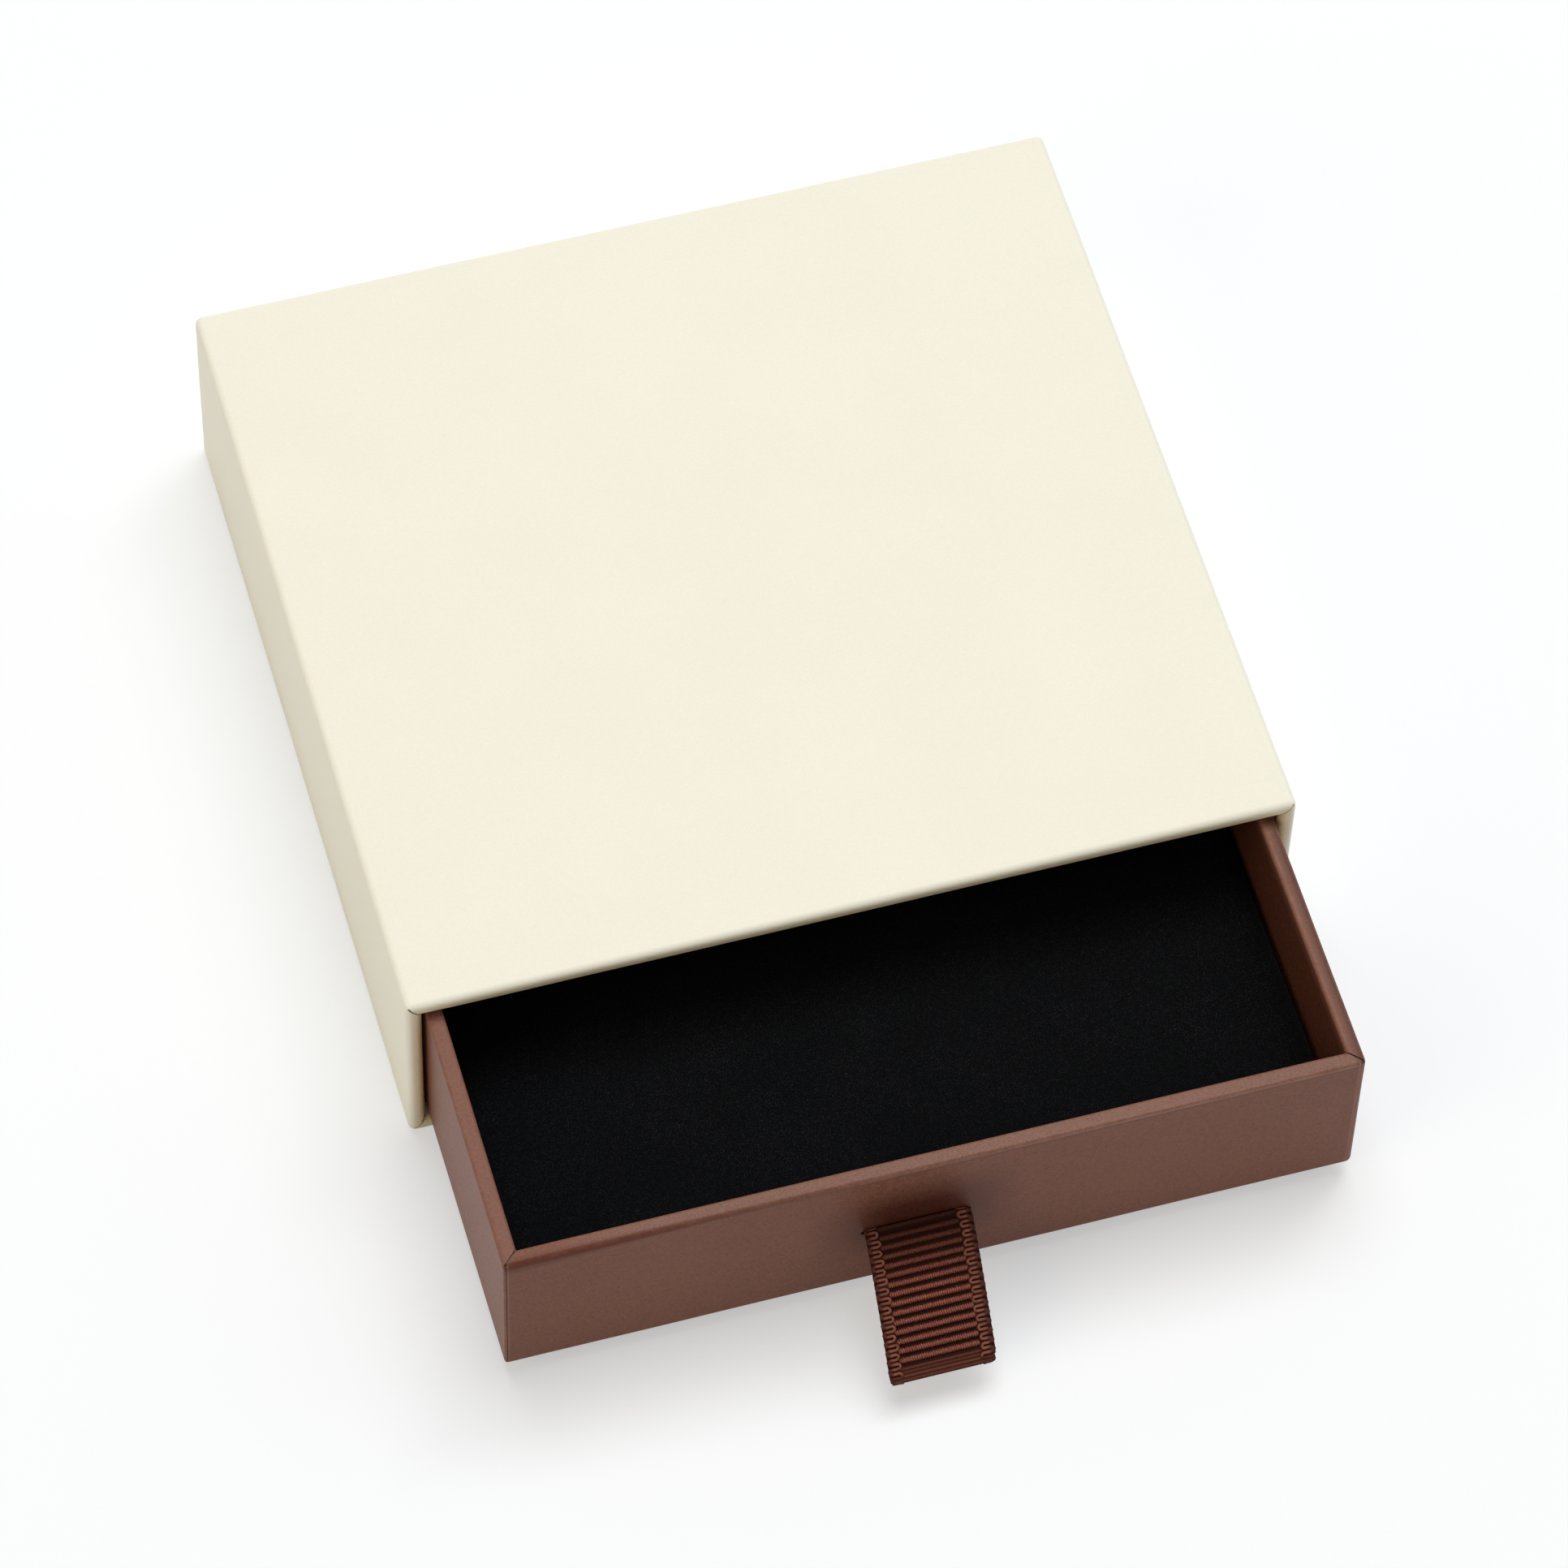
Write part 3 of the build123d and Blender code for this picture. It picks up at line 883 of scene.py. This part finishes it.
bpy.ops.object.select_all(action="DESELECT")
bpy.ops.mesh.primitive_grid_add(x_subdivisions=12, y_subdivisions=14, size=1)
ribbon = bpy.context.object
ribbon.name = "ribbon"
bpy.ops.object.mode_set(mode="EDIT")
bpy.ops.transform.resize(value=(ribbon_width, rib_pitch, 1))
bpy.ops.transform.translate(value=(0, rib_pitch / 2, 0))
# Where each column of the plain grid goes.
columns = {
    0.006: cloth_edge,
    0.005: edge_cord_x,
    0.004: edge_cord_x - edge_step,
    0.003: rib_end + edge_step,
    0.002: rib_end,
    0.001: rib_end / 2,
}
for before, after in columns.items():
    pick("verts", lambda vert: abs(abs(vert.co.x) - before) < hair)
    bpy.ops.transform.resize(value=(after / before, 1, 1), center_override=(0, 0, 0))
rows = sorted({round(vert.co.y, 7) for vert in bmesh.from_edit_mesh(ribbon.data).verts})
for row in rows:
    crown = max(0.0, math.sin(math.pi * min(row / rib_pitch, 1.0))) ** rib_sharpness
    height = rib_valley + (rib_peak - rib_valley) * crown
    levels = (
        (0.0, rib_end, height),
        (columns[0.003], columns[0.003], rib_end_share * height),
        (columns[0.004], columns[0.004], band_level + band_ridge * crown),
        (edge_cord_x, edge_cord_x, edge_level),
    )
    for near, far, level in levels:
        pick(
            "verts",
            lambda vert: abs(vert.co.y - row) < hair and near - hair < abs(vert.co.x) < far + hair,
        )
        bpy.ops.transform.translate(value=(0, 0, level))
bpy.ops.object.mode_set(mode="OBJECT")
repeat(ribbon, rib_count)
strip_end = rib_count * rib_pitch
bpy.ops.object.mode_set(mode="EDIT")
for keep, reach in tip_presses:
    press(keep, lambda vert: abs(vert.co.y - fold_at) < reach)
press(slit_press, in_slit_or_behind)
press(0.0, lambda vert: vert.co.y < hair or vert.co.y > strip_end - hair)
narrow_fold()
bpy.ops.object.mode_set(mode="OBJECT")
both = ribbon.modifiers.new("both_faces", "MIRROR")
both.use_axis = (False, False, True)
both.merge_threshold = weld_distance
bpy.ops.object.modifier_apply(modifier="both_faces")
bpy.ops.object.mode_set(mode="EDIT")
bpy.ops.mesh.select_all(action="SELECT")
bpy.ops.mesh.normals_make_consistent(inside=False)
press(back_press, lambda vert: vert.co.z < -cut_tolerance)
bpy.ops.object.mode_set(mode="OBJECT")
lay_on_path(ribbon)
bpy.ops.object.shade_smooth()

groove_shade_brown = (0.019, 0.0044, 0.0024, 1)
crest_brown = (0.165, 0.042, 0.026, 1)
crest_highlight_brown = (0.430, 0.146, 0.102, 1)
pressed_brown = (0.150, 0.046, 0.029, 1)
pressed_edge = (0.0015, 0.0020)
pressed_line = 0.00042
slit_shade_run = 0.007


def yarn_twist(start, flat, pitch, lean):
    """0 to 1 across each turn of a twisted yarn that lies across the strip."""
    turn = axis(start, flat, 0) * (2 * math.pi / pitch) + axis(start, flat, 1) * (2 * math.pi / lean)
    return 0.5 + 0.5 * turn.math("SINE", turn)


grosgrain, start, shader, _ = finish_start("grosgrain", 0.75, 0.08)
flat = start.node("Attribute", {"attribute_name": "flat_place"}, {}, "Vector")
level = axis(start, flat, 2)
level = level.math("ABSOLUTE", level)
beside = axis(start, flat, 0)
band = spread(start, beside.math("ABSOLUTE", beside), rib_end + 0.0001, rib_end + 0.0003)
fuzz = spread(start, grain(start, flat, 5200, 3), 0.32, 0.68)
# Painted light and shade on the ribs: dark shade in the grooves, painted highlights on the crests, shade
# near the slit.
rib_crest = spread(start, level + 0.00016 * fuzz, 0.00027, 0.00053)
crest = rib_crest * (1 - band) + band * 0.15 * spread(start, level, 0.00008, 0.00022)
yarn = yarn_twist(start, flat, pitch=0.00026, lean=0.0016)
from_fold = axis(start, flat, 1) - fold_at
pressed = 1 - spread(start, from_fold.math("ABSOLUTE", from_fold), *pressed_edge)
lines = 0.5 + 0.5 * from_fold.math("SINE", from_fold * (2 * math.pi / pressed_line))
ribs = tint(start, crest, groove_shade_brown, crest_brown)
out_of_slit = spread(start, axis(start, flat, 1), outside[0], outside[0] + slit_shade_run)
woven = tint(start, crest * yarn * (0.04 + 0.36 * out_of_slit + 0.50 * fuzz), ribs, crest_highlight_brown)
tip = tint(start, lines * 0.7 + fuzz * 0.3, groove_shade_brown, pressed_brown)
painted_slit_shade = tint(start, 0.80 * (1 - out_of_slit), tint(start, pressed, woven, tip), groove_shade_brown)
feed(shader, "Base Color", painted_slit_shade)
weave = (yarn * crest + 0.4 * fuzz) * (1 - pressed) + lines * pressed
feed(shader, "Normal", relief(start, weave, 0.00005, 0.8))
ribbon.data.materials.append(grosgrain)

# Selvedge of the ribbon: at each end of a rib the weft yarn turns back in a loop round the edge warps. One
# turn in and out is drawn and spun, mirrored to the other edge, repeated and laid on the ribbon's path.
loop_leg = 0.00026
loop_inner_x = 0.00488
loop_outer_x = 0.00555
loop_yarn = 0.00020
loop_rise = 1.9
loop_sides = 8
turn_steps = 6
loop_jitter = 0.00005
loop_wander = 0.00011
wander_rate = 2.3
outer_press = 0.75
tip_loop_press = (0.4, 0.0009)
outer_fade = (-0.0002, 0.0001)
yarn_shaded = (0.070, 0.020, 0.012, 1)
yarn_lit = (0.300, 0.108, 0.074, 1)

bpy.ops.object.select_all(action="DESELECT")
bpy.ops.mesh.primitive_circle_add(vertices=loop_sides, radius=loop_yarn, rotation=(0, math.pi / 2, 0))
bpy.ops.object.transform_apply(location=True, rotation=True, scale=True)
selvedge = bpy.context.object
selvedge.name = "ribbon_selvedge"
bpy.ops.object.mode_set(mode="EDIT")
bpy.ops.mesh.select_all(action="SELECT")
bpy.ops.transform.translate(value=(loop_outer_x, rib_pitch - loop_leg, 0))
bpy.ops.mesh.extrude_edges_indiv()
bpy.ops.transform.translate(value=(loop_inner_x - loop_outer_x, 0, 0))
inner_turn = (loop_inner_x, rib_pitch, 0)
bpy.ops.mesh.spin(steps=turn_steps, angle=math.pi, center=inner_turn, axis=(0, 0, 1))
bpy.ops.mesh.extrude_edges_indiv()
bpy.ops.transform.translate(value=(loop_outer_x - loop_inner_x, 0, 0))
outer_turn = (loop_outer_x, 1.5 * rib_pitch, 0)
bpy.ops.mesh.spin(steps=turn_steps, angle=-math.pi, center=outer_turn, axis=(0, 0, 1))
bpy.ops.mesh.select_all(action="SELECT")
bpy.ops.transform.resize(value=(1, 1, loop_rise), center_override=(0, 0, 0))
bpy.ops.object.mode_set(mode="OBJECT")
edges = selvedge.modifiers.new("both_edges", "MIRROR")
edges.use_axis = (True, False, False)
bpy.ops.object.modifier_apply(modifier="both_edges")
repeat(selvedge, rib_count - 1)
bpy.ops.object.mode_set(mode="EDIT")
bpy.ops.mesh.select_all(action="SELECT")
bpy.ops.mesh.fill_holes(sides=0)
bpy.ops.mesh.normals_make_consistent(inside=False)
press(outer_press, lambda vert: abs(vert.co.x) > loop_outer_x + loop_yarn)
pick("verts", lambda vert: abs(vert.co.x) < loop_outer_x)
bpy.ops.transform.vertex_random(offset=loop_jitter, seed=5)
turn_reach = loop_inner_x + loop_leg
for side in (-1, 1):
    for number in range(1, rib_count):
        turn_y = number * rib_pitch
        pick(
            "verts",
            lambda vert: abs(vert.co.y - turn_y) < rib_pitch / 2 and 0 < vert.co.x * side < turn_reach,
        )
        wander = loop_wander * math.sin(wander_rate * number * number + side)
        bpy.ops.transform.translate(value=(wander, 0, 0))
press(tip_loop_press[0], lambda vert: abs(vert.co.y - fold_at) < tip_loop_press[1])
press(slit_press, in_slit_or_behind)
narrow_fold()
bpy.ops.object.mode_set(mode="OBJECT")
lay_on_path(selvedge)
bpy.ops.object.shade_smooth()

selvedge_yarn, start, shader, _ = finish_start("selvedge_yarn", 0.75, 0.08)
flat = start.node("Attribute", {"attribute_name": "flat_place"}, {}, "Vector")
level = axis(start, flat, 2)
# Painted light and shade on the loops: raised parts lighter, with twist and uneven tone; outer ends in
# painted shade.
crown = spread(start, level.math("ABSOLUTE", level), 0.00008, loop_yarn * loop_rise)
yarn = yarn_twist(start, flat, pitch=0.00016, lean=0.0002)
uneven = spread(start, grain(start, flat, 1300, 2), 0.35, 0.65)
beside = axis(start, flat, 0)
outer_edge_shade = spread(start, beside.math("ABSOLUTE", beside) - loop_outer_x, *outer_fade)
raised_lit_and_uneven = crown * (0.40 + 0.30 * yarn + 0.45 * uneven) * (1 - 0.85 * outer_edge_shade)
feed(shader, "Base Color", tint(start, raised_lit_and_uneven, yarn_shaded, yarn_lit))
feed(shader, "Normal", relief(start, yarn, 0.00003, 0.6))
selvedge.data.materials.append(selvedge_yarn)

for piece in (ribbon, selvedge):
    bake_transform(piece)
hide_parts("ribbon_loop", "ribbon_upper_tail", "ribbon_lower_tail")
bpy.data.objects.remove(ribbon_path)
